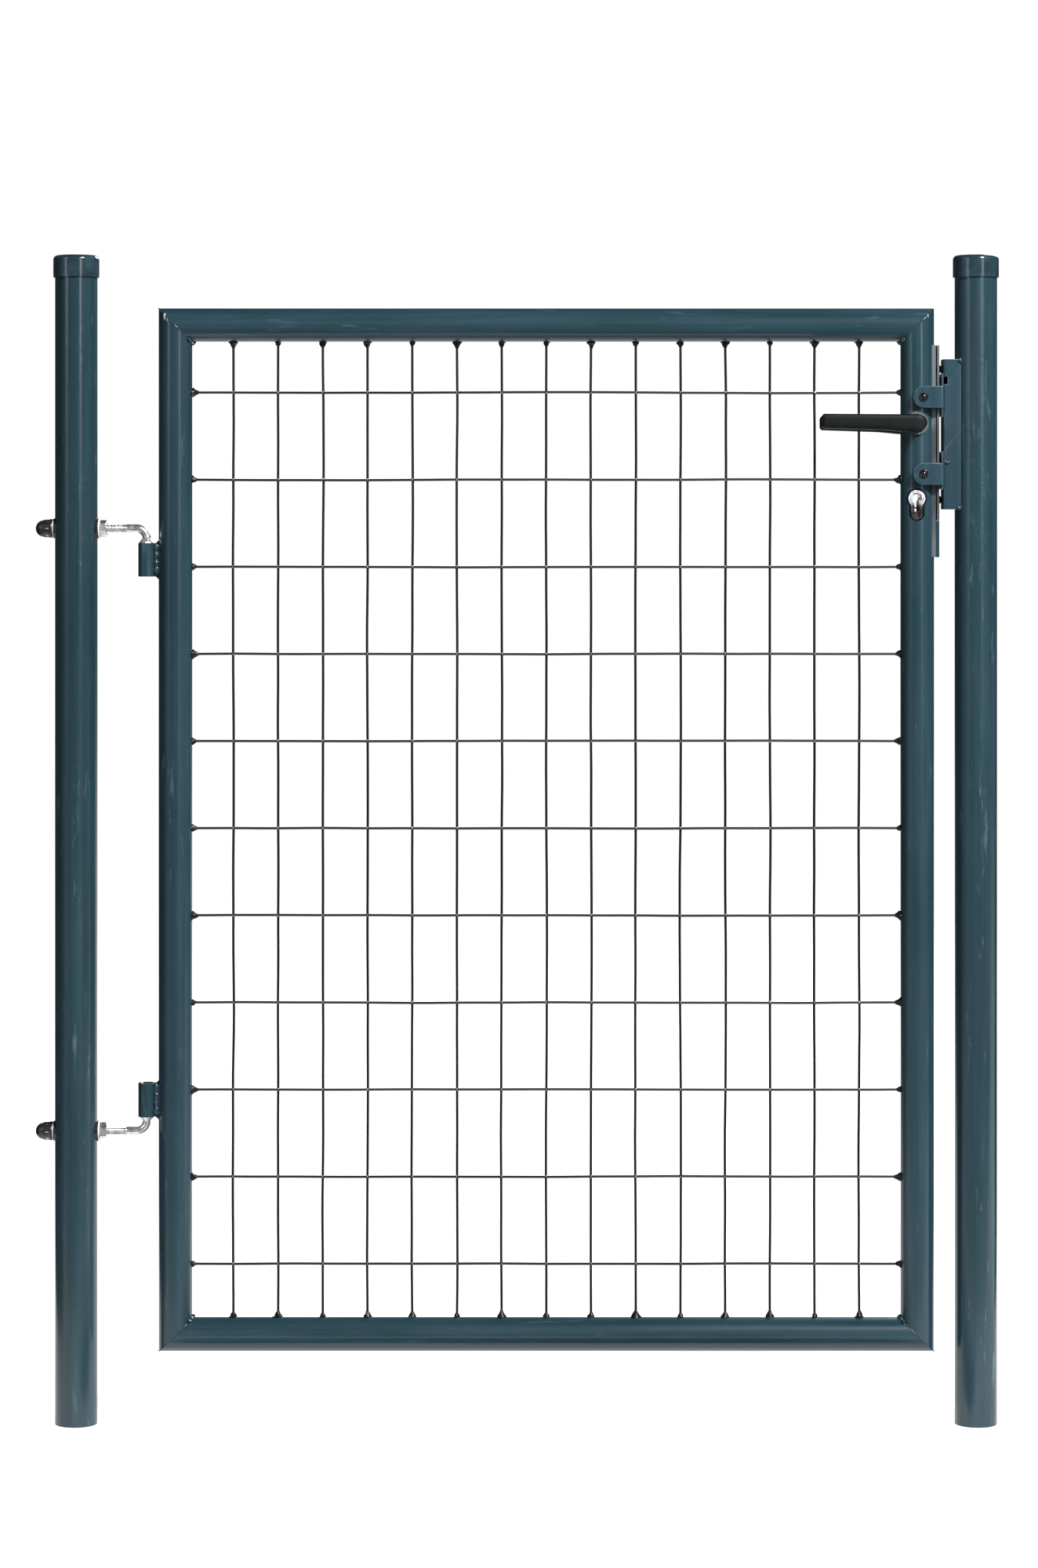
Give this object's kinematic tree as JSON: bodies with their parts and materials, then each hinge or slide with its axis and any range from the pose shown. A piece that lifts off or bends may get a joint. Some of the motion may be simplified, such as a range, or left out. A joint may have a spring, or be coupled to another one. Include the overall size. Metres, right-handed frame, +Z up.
{
  "type": "garden gate",
  "caption": "Single garden gate: tube-framed welded mesh leaf on hook-bolt hinges between two capped round posts, with lever handles, mortice lock, striker and rubber-buffered stops.",
  "frame": {"origin": "centre of the hinge post's foot, at the level of both posts' bottom ends", "axes": "+X runs from the hinge post to the latch post, +Y points from the handle side in front towards the back, the side the leaf opens to, and +Z points up along the posts"},
  "size_m": [1.0919, 0.12, 1.324],
  "materials": {
    "post_paint": "semi-gloss powder coat",
    "cap_plastic": "gloss",
    "zinc": "bright zinc plate",
    "black_plastic": "gloss",
    "striker_paint": "semi-gloss powder coat",
    "rubber": "satin",
    "leaf_paint": "semi-gloss powder coat",
    "wire_paint": "semi-gloss powder coat",
    "pocket_steel": "worn paint over galvanised steel",
    "lock_steel": "galvanised",
    "insert_zinc": "zinc die casting",
    "spring_steel": "drawn",
    "handle_black": "satin",
    "black_screw": "blackened",
    "bolt_brass": "satin"
  },
  "bodies": {
    "posts": {"hinge_post": "post_paint", "latch_post": "post_paint", "hinge_post_cap": "cap_plastic", "latch_post_cap": "cap_plastic", "upper_hook_bolt": "zinc", "lower_hook_bolt": "zinc", "hinge_nuts": "zinc", "hinge_washers": "zinc", "saddle_washers": "black_plastic", "bolt_caps": "black_plastic", "strike_channel": "striker_paint", "upper_stop_plate": "striker_paint", "lower_stop_plate": "striker_paint", "stop_buffers": "rubber"},
    "leaf": {"hinge_stile": "leaf_paint", "lock_stile": "leaf_paint", "top_rail": "leaf_paint", "bottom_rail": "leaf_paint", "upright_wires": "wire_paint", "level_wires": "wire_paint", "upper_hinge_sleeve": "leaf_paint", "lower_hinge_sleeve": "leaf_paint", "sleeve_webs": "leaf_paint", "lock_pocket": "pocket_steel", "pocket_strip": "leaf_paint", "lock_case": "lock_steel", "lock_cover": "lock_steel", "lock_plate": "lock_steel", "plate_screws": "zinc", "key_insert": "insert_zinc", "front_rose": "insert_zinc", "rear_rose": "insert_zinc", "follower_spring": "spring_steel", "detent_spring": "spring_steel"},
    "handle_set": {"front_handle": "handle_black", "rear_handle": "handle_black", "spindle": "lock_steel", "follower": "bolt_brass", "grub_screws": "black_screw"},
    "latch": {"latch_bolt": "bolt_brass", "latch_spring": "spring_steel"},
    "dead_bolt": {"dead_bolt": "bolt_brass"}
  },
  "joints": [
    {"name": "gate_swing", "type": "hinge", "parent": "posts", "child": "leaf", "pos_m": [0.08, 0, 0.979], "axis": [0, 0, 1], "range_deg": [0, 110]},
    {"name": "handle_turn", "type": "hinge", "parent": "leaf", "child": "handle_set", "pos_m": [0.9515, 0, 1.1335], "axis": [0, -1, 0], "range_deg": [0, 35], "stiffness_Nm_per_rad": 1, "springref_deg": -22.92},
    {"name": "latch_slide", "type": "slide", "parent": "leaf", "child": "latch", "axis": [-1, 0, 0], "range_m": [0, 0.008]},
    {"name": "dead_bolt_slide", "type": "slide", "parent": "leaf", "child": "dead_bolt", "axis": [1, 0, 0], "range_m": [0, 0.014]}
  ],
  "couplings": [
    {"joint": "latch_slide", "follows": "handle_turn", "m_per_rad": 0.013}
  ]
}
